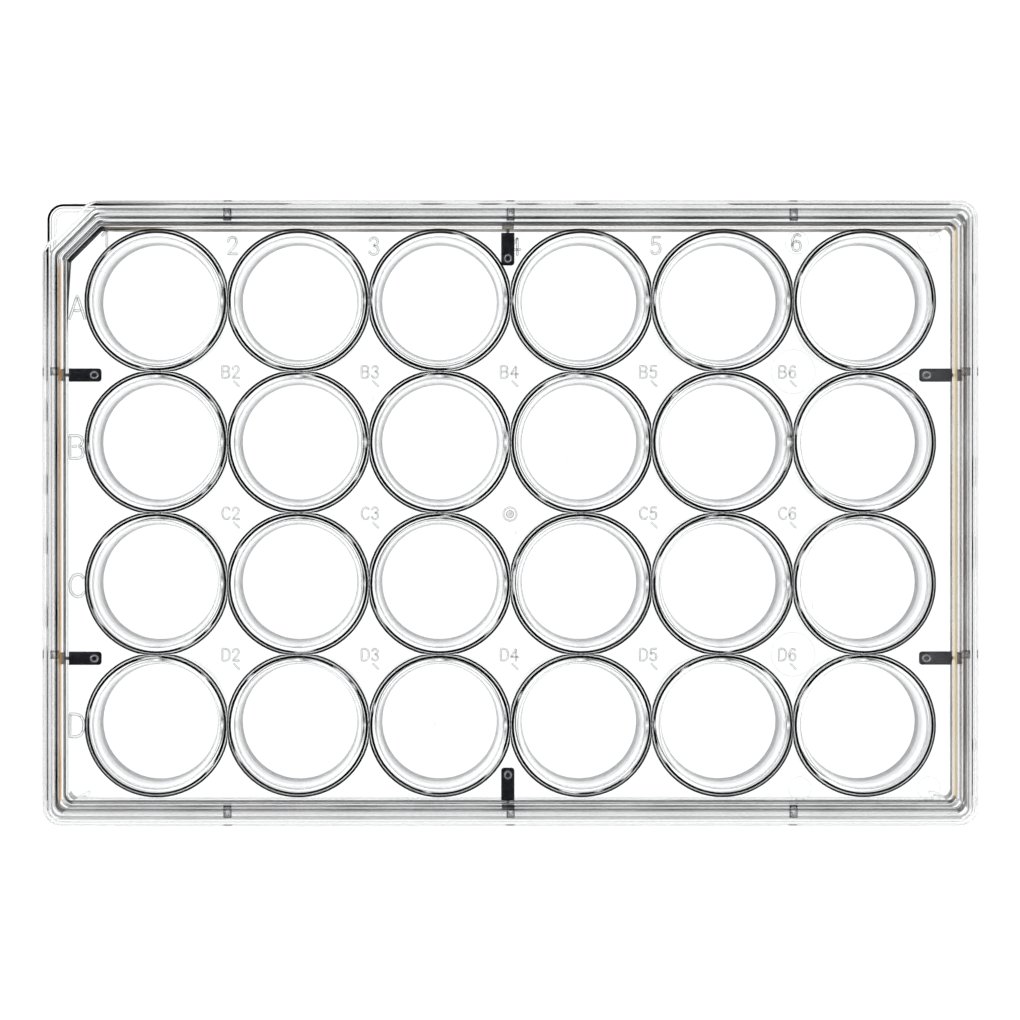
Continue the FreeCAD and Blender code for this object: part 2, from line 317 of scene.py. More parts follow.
@dataclass(frozen=True)
class Sizes:
    """Driving sizes of the plate and its lid; the overall ones come from the frame."""

    foot_x: float
    foot_y: float
    top_z: float
    lid_x: float
    lid_y: float
    lid_edge_z: float
    lid_top_z: float
    corner: float = 2.60
    upper_in_x: float = 1.83
    upper_in_y: float = 2.20
    upper_wall: float = 1.50
    upper_corner: float = 2.00
    cut_leg: float = 6.60
    deck_z: float = 18.80
    deck_floor: float = 1.30
    shelf_z: float = 12.40
    lid_clear: float = 0.50
    lid_panel: float = 1.10
    lid_wall: float = 1.10

    @classmethod
    def from_frame(cls) -> "Sizes":
        """Reads the overall sizes from the two nodes' boxes."""
        plate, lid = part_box("plate")[1] / MM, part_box("lid")[1] / MM
        return cls(plate.x, plate.y, plate.z, lid.x, lid.y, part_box("lid")[0].z / MM, lid.z)

    @property
    def deck_under(self) -> float:
        """Height of the deck's underside."""
        return self.deck_z - self.deck_floor

    @property
    def lid_under(self) -> float:
        """Height of the underside of the lid's panel."""
        return self.top_z + self.lid_clear

    @property
    def lid_face(self) -> float:
        """Height of the lid's flat top."""
        return self.lid_under + self.lid_panel

    @property
    def upper(self) -> Outline:
        """The outside of the plate's upper wall.

        Returns:
            Its outline; the cut's leg shrinks as the walls move in, so that the gap stays even.
        """
        leg = self.cut_leg - (self.upper_in_x + self.upper_in_y) / 2 * SHRINK
        return Outline(self.foot_x - self.upper_in_x, self.foot_y - self.upper_in_y, leg,
                       self.upper_corner)

    @property
    def deck_edge(self) -> tuple[float, float]:
        """Half sizes of the deck, inside the upper wall."""
        return self.upper.half_x - self.upper_wall, self.upper.half_y - self.upper_wall


@dataclass(frozen=True)
class Spot:
    """One well's spot in the grid; row 0 is row D and column 0 is column 1."""

    row: int
    column: int

    @property
    def centre(self) -> tuple[float, float]:
        """The x and y of the well's axis."""
        return (self.column - (COLUMNS - 1) / 2) * PITCH, (self.row - (ROWS - 1) / 2) * PITCH

    @property
    def has_right(self) -> bool:
        """Whether a well stands to its right."""
        return self.column < COLUMNS - 1

    @property
    def has_back(self) -> bool:
        """Whether a well stands behind it."""
        return self.row < ROWS - 1

    @property
    def at_cut(self) -> bool:
        """Whether it stands at the plate's cut corner."""
        return not self.has_back and self.column == 0

    def sides(self, beside_wall: float) -> tuple[float, float, float, float]:
        """How far its cell reaches: halfway to a neighbour, a little more beside a wall.

        Args:
            beside_wall: how much more.

        Returns:
            Distances from the axis to the right, back, left and front.
        """
        half, wide = PITCH / 2, PITCH / 2 + beside_wall
        walls = (not self.has_right, not self.has_back, self.column == 0, self.row == 0)
        right, back, left, front = (wide if wall else half for wall in walls)
        return right, back, left, front


SPOTS = [Spot(row, column) for row in range(ROWS) for column in range(COLUMNS)]


@dataclass
class Plate:
    """The base: skirt, shelf, upper wall, deck and wells, one closed moulding."""

    sizes: Sizes
    beside_wall: float = 0.26
    skirt_wall: float = 1.10
    lean: float = 0.20
    shelf_floor: float = 1.20
    rim_out: float = 9.49
    rim_foot: float = 9.66
    rim_inset: float = 0.06
    bore_top: float = 8.65
    bore_foot: float = 7.95
    clear_to_z: float = 16.4
    glance_shade_from_z: float = 11.0
    floor_z: float = 2.60
    under_z: float = 1.30
    outer_top: float = 9.50
    outer_z: float = 16.0
    outer_foot: float = 8.90
    step_wide: float = 0.19
    step_tall: float = 0.05
    fillet: float = 0.30
    above: tuple[float, ...] = (9.90, 9.88, 9.66, 9.64)
    below: tuple[float, ...] = (9.84, 9.70, 9.56)
    web_turn: float = 11.0
    web_gap: float = 2.5
    glint: float = 0.25
    cut_fade: float = 10.0
    cut_dark: float = 0.35
    shelf_fade: float = 9.0

    def cell_edge(self, spot: Spot) -> np.ndarray:
        """Distance from a well's axis to the edge of its cell.

        The cell is what lies inside its four sides and, at the plate's cut, a fifth across the corner.
        Each is a line with a normal and a distance from the axis, so its distance along an angle is
        that distance divided by the cosine between the two.

        Args:
            spot: the well.

        Returns:
            The distance for each step round the well.
        """
        angle = self.angles()
        right, back, left, front = spot.sides(self.beside_wall)
        lines = [(1.0, 0.0, right), (-1.0, 0.0, left), (0.0, 1.0, back), (0.0, -1.0, front)]
        if spot.at_cut:
            lines.append((-1.0, 1.0, left * (1 + math.tan(math.radians(30)))))
        reach = np.full(WELL_STEPS, np.inf)
        for nx, ny, away in lines:
            facing = nx * np.cos(angle) + ny * np.sin(angle)
            reach = np.where(facing > 0.05, np.minimum(reach, away / np.maximum(facing, 0.05)), reach)
        return reach

    def cell_corners(self, spot: Spot, found: np.ndarray) -> np.ndarray:
        """The exact corners of a cell, so that neighbouring cells weld.

        Args:
            spot: the well.
            found: the corners as the cell's edge gives them, 4 by 2, from the -X -Y one.

        Returns:
            The exact ones, 4 by 2; the one at the plate's cut stays as found.
        """
        x, y = spot.centre
        right, back, left, front = spot.sides(self.beside_wall)
        low, high = (x - left, y - front), (x + right, y + back)
        corners = np.array([low, (high[0], low[1]), high, (low[0], high[1])])
        if spot.at_cut:
            corners[3] = found[3]
        return corners

    @staticmethod
    def angles() -> np.ndarray:
        """Angles round a well, from its -X -Y diagonal."""
        return math.radians(-135) + np.arange(WELL_STEPS) * math.tau / WELL_STEPS

    def web_shade(self, spot: Spot) -> np.ndarray:
        """How much painted shade a well's rim shows of the webs to its right and back: beside a web, not
        on it.

        It falls with the angle from the web as a bell curve, higher on one side than on the other.

        Args:
            spot: the well.

        Returns:
            0 to about 1, for each step round the well.
        """
        shade = np.zeros(WELL_STEPS)
        webs = ((0.0, spot.has_right, (0.8, 1.0)), (90.0, spot.has_back, (1.0, 0.45)))
        for toward, there, (before, after) in webs:
            off = (np.degrees(self.angles()) - toward + 180) % 360 - 180
            fade = np.exp(-(off / self.web_turn) ** 2) * np.where(off < 0, before, after)
            shade += fade * (np.abs(off) > self.web_gap) * there
        return shade

    def glints(self, spot: Spot) -> np.ndarray:
        """How dark a rim's painted dark edge is: 1, but much less along a few short arcs, painted
        highlights where it catches light.

        Args:
            spot: the well; each has arcs of its own.

        Returns:
            The darkness for each step round the well.
        """
        dark = np.ones(WELL_STEPS)
        chance = np.random.default_rng(10 * spot.row + spot.column)
        for start, count in zip(chance.integers(0, WELL_STEPS, 4), (1, 3, 1, 2)):
            dark[(start + np.arange(count)) % WELL_STEPS] = self.glint
        return dark

    def rim_height(self, r: np.ndarray) -> np.ndarray:
        """Height of the deck: flat, with a smooth low step up to the flat ring round each rim."""
        t = np.clip((self.rim_foot + self.step_wide - r) / self.step_wide, 0, 1)
        return self.sizes.deck_z + self.step_tall * t * t * (3 - 2 * t)

    def under_height(self, r: np.ndarray) -> np.ndarray:
        """Height of the deck's underside beside a well's outside: flat, then a fillet down."""
        t = np.clip((self.outer_top + self.fillet - r) / self.fillet, 0, 1)
        return self.sizes.deck_under - self.fillet * t ** 2

    @staticmethod
    def ring_rows(reach: np.ndarray, start: float, radii: tuple[float, ...],
                  height: Callable[[np.ndarray], np.ndarray]) -> np.ndarray:
        """Rows between a cell's edge and a radius; near the neighbours they are squeezed to fit.

        Args:
            reach: distance to the cell's edge for each step.
            start: the radius that the rows come in to.
            radii: their radii where nothing is near.
            height: gives the height above a radius.

        Returns:
            Radii and heights, 2 by rows by steps.
        """
        scale = np.minimum(1, (reach - start) * SQUEEZE / (radii[0] - start))
        r = np.stack([reach] + [start + (value - start) * scale for value in radii])
        return np.stack([r, height(r)])

    def inside(self) -> Profile:
        """The rim and bore, from the rim's outer face to the middle of the floor.

        Returns:
            Radius, height and tone of each ring.
        """
        out, top, step = self.rim_out, self.sizes.top_z, self.sizes.deck_z + self.step_tall
        bore, foot, floor = self.bore_top, self.bore_foot, self.floor_z
        # The tones are painted shade: a dark line on the rim's rounding, marks beside the webs, a faint
        # line at the mouth, and a band on the bore from this height down that shows at a glancing angle.
        return [
            *bend((out + 0.04, step), (out + 0.015, step), (out + 0.015, step + 0.03), 1),
            *bend((out, top - 0.25), (out, top), (out - 0.29, top), 3, Tone.LINE),
            (out - 0.34, top, Tone.BESIDE_WEB_SHADE),
            (bore + 0.16, top, Tone.BESIDE_WEB_SHADE),
            *bend((bore + 0.12, top), (bore, top), (bore - 0.01, top - 0.16), 3, Tone.FAINT),
            (bore - 0.16, self.clear_to_z, Tone.CLEAR),
            (bore - 0.37, self.glance_shade_from_z, Tone.GLANCE_SHADE),
            (foot + 0.03, floor + 0.52, Tone.GLANCE_SHADE),
            *bend((foot + 0.02, floor + 0.45), (foot, floor), (foot - 0.40, floor), 3, Tone.GLANCE_SHADE),
            (0.0, floor, Tone.CLEAR),
        ]

    def outside(self) -> Profile:
        """The outside of a well, from under the deck to the middle of the underside.

        Returns:
            Radius, height and tone of each ring.
        """
        foot, low = self.outer_foot, self.under_z
        return [
            (self.outer_top - 0.05, self.outer_z, Tone.CLEAR),
            *bend((foot, low + 0.25), (foot - 0.03, low), (foot - 0.25, low), 2),
            (0.0, low, Tone.CLEAR),
        ]

    def rows_round(self, spot: Spot, rings: np.ndarray, profile: Profile) -> np.ndarray:
        """The rows of one face of a well: rings out to its cell, then a profile turned about its axis.

        Args:
            spot: the well.
            rings: radii and heights, 2 by rows by steps, as ring_rows gives them.
            profile: radius, height and tone of each ring within.

        Returns:
            Points, rows by WELL_STEPS by 3.
        """
        x, y = spot.centre
        angle = self.angles()
        flat = np.array([ring[:2] for ring in profile]).T[:, :, None]
        r, z = np.concatenate([rings, np.broadcast_to(flat, (2, len(profile), WELL_STEPS))], axis=1)
        rows = np.stack([x + r * np.cos(angle), y + r * np.sin(angle), z], axis=-1)
        rows[0, ::SIDE, :2] = self.cell_corners(spot, rows[0, ::SIDE, :2])
        return rows

    def top_tones(self, spot: Spot, tones: list[Tone]) -> np.ndarray:
        """Painted shade of a well seen from above.

        The bore's painted shade at a glancing angle is a cosine of the angle, strongest to the front
        left in the left half of the plate and to the front right in the right half. The painted shade of
        the webs shows beside the webs, and the rim's painted dark edge is broken by painted highlights,
        the glints.

        Args:
            spot: the well.
            tones: the tone of each row.

        Returns:
            Rows by WELL_STEPS by 5.
        """
        shades = tone_rows(tones, WELL_STEPS)
        strongest = math.radians(210 if spot.column < COLUMNS / 2 else 330)
        shades[..., 4] *= 0.5 + 0.5 * np.cos(self.angles() - strongest)
        shades[[tone is Tone.BESIDE_WEB_SHADE for tone in tones], :, 3] *= self.web_shade(spot)
        rim = [i for i, tone in enumerate(tones) if tone is Tone.LINE][-2:]
        shades[rim, :, 3] *= self.glints(spot)
        return shades

    def well(self, skin: Skin, spot: Spot) -> tuple[np.ndarray, np.ndarray]:
        """Adds one well, above and below.

        Args:
            skin: the surface it joins.
            spot: the well.

        Returns:
            The edge of its cell on the deck and under it, each WELL_STEPS by 3.
        """
        reach = self.cell_edge(spot)
        inside, outside = self.inside(), self.outside()
        rings = self.ring_rows(reach, self.rim_foot - self.rim_inset, self.above, self.rim_height)
        top = self.rows_round(spot, rings, inside)
        # painted shade: a dark band on the low step round the rim
        tones = [Tone.CLEAR] * 2 + [Tone.LINE] * 2 + [Tone.CLEAR] + [tone for _, _, tone in inside]
        skin.grid(top, self.top_tones(spot, tones))
        rings = self.ring_rows(reach, self.outer_top, self.below, self.under_height)
        bottom = self.rows_round(spot, rings, outside)
        skin.grid(bottom, flip=True)
        return top[0], bottom[0]

    @staticmethod
    def rim_of_grid(edges: dict[tuple[int, int], np.ndarray]) -> np.ndarray:
        """Joins the outer sides of the outer cells.

        Args:
            edges: each cell's edge by row and column, WELL_STEPS by 3.

        Returns:
            The loop round all the cells, counter-clockwise from the -X -Y corner.
        """
        parts = [edges[0, column][:SIDE] for column in range(COLUMNS)]
        parts += [edges[row, COLUMNS - 1][SIDE:2 * SIDE] for row in range(ROWS)]
        parts += [edges[ROWS - 1, column][2 * SIDE:3 * SIDE] for column in reversed(range(COLUMNS))]
        parts += [edges[row, 0][3 * SIDE:] for row in reversed(range(ROWS))]
        return np.concatenate(parts)

    def build(self) -> bpy.types.Object:
        """Builds the plate: wells cell by cell, then loops from the deck over the walls and back under.

        Returns:
            The finished mesh object.
        """
        skin = Skin()
        above: dict[tuple[int, int], np.ndarray] = {}
        below: dict[tuple[int, int], np.ndarray] = {}
        for spot in SPOTS:
            above[spot.row, spot.column], below[spot.row, spot.column] = self.well(skin, spot)
        size, lean = self.sizes, self.lean
        deck, under = size.deck_z, size.deck_under
        top, shelf, wall = size.top_z, size.shelf_z, size.upper_wall
        hollow, thick = shelf - self.shelf_floor, lean + self.skirt_wall
        # painted shade on the rounded top of the upper wall
        upper_rows = [
            *bend((wall - 0.03, deck), (wall - 0.12, deck), (wall - 0.12, deck + 0.09), 3),
            *bend((wall - 0.14, top - 0.2), (wall - 0.14, top), (wall - 0.42, top), 4, Tone.SHADE_DEEP),
            *bend((0.28, top), (0, top), (0, top - 0.28), 4, Tone.SHADE_DEEP),
            *bend((0, shelf + 0.30), (0, shelf), (-0.30, shelf), 3),
        ]
        # painted shade: dark lines along the shelf
        skirt_rows = [
            (1.02, shelf, Tone.CLEAR), (0.98, shelf, Tone.SHADE_DEEP), (0.91, shelf, Tone.SHADE_DEEP),
            (0.87, shelf, Tone.CLEAR), (0.75, shelf, Tone.CLEAR), (0.71, shelf, Tone.LINE),
            (0.40, shelf, Tone.LINE),
            *bend((lean + 0.18, shelf), (lean, shelf), (lean, shelf - 0.18), 3),
            *bend((0.0, 0.2), (0.0, 0.0), (0.2, 0.0), 2),
            *bend((thick - 0.2, 0), (thick, 0), (thick, 0.2), 2),
            *bend((thick, hollow - 0.3), (thick, hollow), (thick + 0.3, hollow), 3),
        ]
        inner_rows = [
            *bend((wall - 0.2, hollow), (wall, hollow), (wall, hollow + 0.2), 2),
            *bend((wall, under - 0.12), (wall, under), (wall + 0.12, under), 2),
        ]
        skirt = Outline(size.foot_x, size.foot_y, SHRINK * size.corner, size.corner)
        rows, tones = [self.rim_of_grid(above)], [Tone.CLEAR]
        parts = ((size.upper, upper_rows), (skirt, skirt_rows), (size.upper, inner_rows))
        for outline, profile in parts:
            more, shades = loops(outline, profile)
            rows, tones = rows + more, tones + shades
        shade = tone_rows([*tones, Tone.CLEAR], len(rows[0]))
        for i in range(2, 8):  # painted shade by the cut, on the fillet on the deck and the wall's inner face
            near = self.near_cut(rows[i], self.cut_fade)[:, None]
            shade[i] += near ** 0.5 * self.cut_dark * (np.array(Tone.DARK.value) - shade[i])
        first, last = len(upper_rows) + 1, len(upper_rows) + 8  # the shelf's painted shade lines, which end by the cut
        shade[first:last, :, 3] *= self.near_cut(rows[first], self.shelf_fade) ** 0.5
        skin.grid(np.stack([*rows, self.rim_of_grid(below)]), shade, flip=True)
        return skin.mesh("plate_moulding")

    def near_cut(self, points: np.ndarray, fade: float) -> np.ndarray:
        """How near points are to the cut corner.

        Args:
            points: points of a loop, count by 3.
            fade: the distance along the walls beside the cut over which it falls.

        Returns:
            1 along the cut, falling evenly to 0.
        """
        upper = self.sizes.upper
        past = (upper.half_x + points[:, 0]) + (upper.half_y - points[:, 1]) - upper.leg
        return np.clip(1 - past / fade, 0, 1)


@dataclass
class CutFillet:
    """The wide fillet between the wall of the cut corner and the deck; it thins out along both walls."""

    sizes: Sizes
    wide: float = 0.62
    long: float = 11.0
    tall: float = 0.35

    def build(self) -> bpy.types.Object:
        """Three convex blocks: one along the cut, and a tapering one along each wall beside it.

        Returns:
            The finished mesh object.
        """
        edge = self.sizes.upper.inset(self.sizes.upper_wall + SEAM)
        x, y, leg, wide = edge.half_x, edge.half_y, edge.leg, self.wide
        back, left = (-x + leg, y), (-x, y - leg)
        back_in, left_in = (back[0] + wide * 0.41, y - wide), (-x + wide, left[1] - wide * 0.41)
        half_way, end, low = self.long * 0.5, self.long, self.sizes.deck_z + 0.01
        skin = Skin()
        for corners in (
            (back, left, left_in, back_in),
            (back, back_in, (back[0] + half_way, y - wide * 0.45), (back[0] + end, y - SEAM)),
            (left, (-x + SEAM, left[1] - end), (-x + wide * 0.45, left[1] - half_way), left_in),
        ):
            # painted shade: the top dark, the edge and sides darker still
            skin.block(np.array(corners), low, low + self.tall, 0.05, (Tone.SHADE_DEEP, Tone.DARK))
        return skin.mesh("cut_fillet")


@dataclass
class Webs:
    """Ribs of plastic under the deck that join each well to its neighbours."""

    sizes: Sizes
    half: float = 0.55
    foot_z: float = 5.0
    well_radius: float = 9.46

    def build(self) -> bpy.types.Object:
        """One block for each pair of neighbours.

        Returns:
            The finished mesh object.
        """
        skin = Skin()
        top, clear = self.sizes.deck_under - SEAM, PITCH / 2 - self.well_radius
        for spot in SPOTS:
            x, y = spot.centre
            if spot.has_right:
                self.web(skin, x + PITCH / 2, y, clear, self.half, top)
            if spot.has_back:
                self.web(skin, x, y + PITCH / 2, self.half, clear, top)
        return skin.mesh("well_webs")

    def web(self, skin: Skin, x: float, y: float, half_x: float, half_y: float, top: float) -> None:
        """Adds one upright block centred at x and y, from the webs' foot up to top."""
        outline = np.array([(-half_x, -half_y), (half_x, -half_y), (half_x, half_y), (-half_x, half_y)])
        # painted shade, pale, on each web's edge and sides
        skin.block(outline + (x, y), self.foot_z, top, 0.04, (Tone.CLEAR, Tone.PALE))


@dataclass
class Lid:
    """The loose cover: panel, rounded wall and stacking ridge, one closed moulding.

    Its painted shade and painted colour fringes are one table of bands for each side and corner: how far
    in from the lid's edge a band starts and ends, its tone, and how much of it hides the clearness.
    """

    sizes: Sizes
    ridge_in: float = 2.27
    ridge_wide: float = 0.92
    slope: float = 0.16
    least: float = 1.20
    border_steps: tuple[float, float, float] = (0.54, 4.60, 0.06)
    corner_weight: float = 4.0
    drift: float = 0.10
    shades: tuple[tuple[tuple[float, float, Tone, float], ...], ...] = (
        (  # front
            (0.55, 0.90, Tone.LINE, 0.08), (0.95, 1.22, Tone.LINE, 0.48), (1.23, 1.92, Tone.LINE, 0.20),
            (1.93, 2.10, Tone.BROWN, 0.46), (2.10, 2.34, Tone.LINE, 0.68), (2.34, 2.62, Tone.LINE, 0.25),
            (2.64, 2.98, Tone.LINE, 0.80), (3.12, 3.34, Tone.LINE, 0.42),
        ),
        (  # right
            (0.78, 0.98, Tone.LINE, 0.50), (0.99, 1.43, Tone.LINE, 0.24), (1.44, 1.62, Tone.LINE, 0.52),
            (1.63, 1.86, Tone.BROWN, 0.90), (1.87, 2.08, Tone.LINE, 0.50), (2.09, 2.34, Tone.LINE, 0.14),
            (2.36, 2.48, Tone.BROWN, 0.40), (2.48, 2.64, Tone.BROWN, 0.84),
            (2.68, 2.83, Tone.LINE, 0.28), (2.84, 3.02, Tone.LINE, 0.14), (3.03, 3.48, Tone.CREAM, 0.62),
            (3.64, 3.92, Tone.LINE, 0.72),
        ),
        (  # back
            (0.55, 0.70, Tone.LINE, 0.60), (0.70, 1.04, Tone.LINE, 0.26), (1.25, 1.58, Tone.LINE, 0.64),
            (1.59, 2.30, Tone.LINE, 0.30), (2.34, 2.68, Tone.LINE, 0.96), (2.69, 3.00, Tone.LINE, 0.20),
            (3.02, 3.30, Tone.LINE, 0.84), (3.31, 3.60, Tone.LINE, 0.22), (3.62, 3.96, Tone.CREAM, 0.16),
            (4.02, 4.40, Tone.LINE, 0.80),
        ),
        (  # left
            (0.64, 0.98, Tone.LINE, 0.50), (0.99, 1.66, Tone.LINE, 0.18), (1.67, 1.84, Tone.BROWN, 0.46),
            (1.83, 2.16, Tone.LINE, 1.00), (2.15, 2.30, Tone.LINE, 0.48), (2.31, 2.40, Tone.WARM, 0.45),
            (2.40, 2.64, Tone.WARM, 0.88), (2.64, 2.80, Tone.WARM, 0.38), (3.04, 3.28, Tone.LINE, 0.82),
        ),
        (  # cut corner
            (0.60, 0.98, Tone.LINE, 0.12), (1.20, 1.40, Tone.LINE, 0.40), (1.77, 2.08, Tone.LINE, 0.96),
            (2.20, 2.40, Tone.LINE, 0.20), (2.50, 2.66, Tone.LINE, 0.45), (2.81, 3.06, Tone.LINE, 0.94),
            (3.10, 3.40, Tone.LINE, 0.25), (3.50, 3.80, Tone.LINE, 0.90), (3.80, 4.10, Tone.LINE, 0.25),
        ),
        (  # round corners
            (0.64, 0.95, Tone.LINE, 0.24), (1.20, 1.50, Tone.LINE, 0.30), (1.86, 2.24, Tone.LINE, 0.94),
            (2.25, 2.50, Tone.LINE, 0.30), (2.70, 3.00, Tone.LINE, 0.60), (3.10, 3.36, Tone.LINE, 0.88),
            (3.60, 4.00, Tone.LINE, 0.80),
        ),
    )

    @property
    def ridge_far(self) -> float:
        """How far in from the lid's edge the ridge ends."""
        return self.ridge_in + self.ridge_wide

    def height(self, step: np.ndarray) -> np.ndarray:
        """Height of the lid's top: flat, with a ridge on it whose two slopes are smooth steps.

        Args:
            step: distances in from the lid's edge.

        Returns:
            The height at each.
        """
        top = self.sizes.lid_face
        rise = np.clip((step - self.ridge_in) / self.slope, 0, 1)
        fall = np.clip((self.ridge_far - step) / self.slope, 0, 1)
        level = np.minimum(rise, fall)
        return top + (self.sizes.lid_top_z - top) * level * level * (3 - 2 * level)

    def border(self, steps: np.ndarray) -> np.ndarray:
        """Painted shade and painted colour fringes of the lid's border: what its edges and the wall
        under it show on each side.

        Each side or corner has a weight along the loop: 1 over its own length, falling within a step
        at its ends. The tones are the weighted mean, with a slow drift of two crossed sine waves.

        Args:
            steps: distance in from the lid's edge for each row.

        Returns:
            The tones, rows by loop by 5.
        """
        long, short, cut, arc = COLUMNS * SIDE, ROWS * SIDE, 3 * CUT, ARC // 3
        count = 2 * (long + short)
        place = np.arange(count)
        lengths = [long, short, long - cut // 2, short - cut // 2, cut]
        starts = [0, long, long + short, 2 * long + short + cut // 2, 2 * long + short - cut // 2]
        sides = [*zip(self.shades, starts, lengths, [1.0] * len(starts))]
        sides += [(self.shades[-1], start - arc, 2 * arc, self.corner_weight) for start in starts[:3]]
        shade = np.zeros((len(steps), count, 5))
        total = np.zeros(count)
        for bands, start, length, share in sides:
            tones = np.repeat(np.array(Tone.CLEAR.value)[None], len(steps), axis=0)
            for near, far, tone, amount in bands:
                tones[(steps >= near) & (steps <= far)] = tone.hiding(amount)
            from_middle = np.abs((place - start - length / 2 + count / 2) % count - count / 2)
            weight = np.clip((length / 2 + 1 - from_middle) / 2, 0, 1) * share + 1e-6
            shade += tones[:, None] * weight[None, :, None]
            total += weight
        shade /= total[None, :, None]
        shade[..., 3] *= 1 - self.drift + self.drift * np.sin(place * 0.55) * np.sin(place * 0.19 + 1)
        return shade

    def build(self) -> bpy.types.Object:
        """Builds the lid as loops from the middle of its top, over its edge, to the middle underneath.

        Returns:
            The finished mesh object.
        """
        size = self.sizes
        edge = Outline(size.lid_x, size.lid_y, size.cut_leg, size.corner)
        wall, under, top, low = size.lid_wall, size.lid_under, size.lid_face, size.lid_edge_z
        slope = np.linspace(0, self.slope, 5)
        turns = np.concatenate([self.ridge_in + slope, self.ridge_far - slope])
        steps = np.unique(np.round(np.concatenate([np.arange(*self.border_steps), turns]), 3))[::-1]
        profile = [
            *bend((0.48, top), (0.05, top), (0.04, top - 0.45), 5),
            *bend((0.0, low + 0.25), (0.0, low), (0.25, low), 3),
            *bend((wall - 0.25, low), (wall, low), (wall, low + 0.25), 3),
            *bend((wall + 0.1, under - 0.5), (wall + 0.1, under), (wall + 0.6, under), 4),
        ]
        rows, tones = loops(edge, profile)
        face = [edge.inset(step, self.least).level(z) for step, z in zip(steps, self.height(steps))]
        first = np.broadcast_to(np.array([0.0, 0.0, top]), rows[0].shape)
        last = np.broadcast_to(np.array([0.0, 0.0, under]), rows[0].shape)
        shade = np.concatenate([tone_rows([Tone.CLEAR], len(first)), self.border(steps),
                                tone_rows([*tones, Tone.CLEAR], len(first))])
        skin = Skin()
        skin.grid(np.stack([first, *face, *rows, last]), shade, flip=True)
        return skin.mesh("lid_moulding")


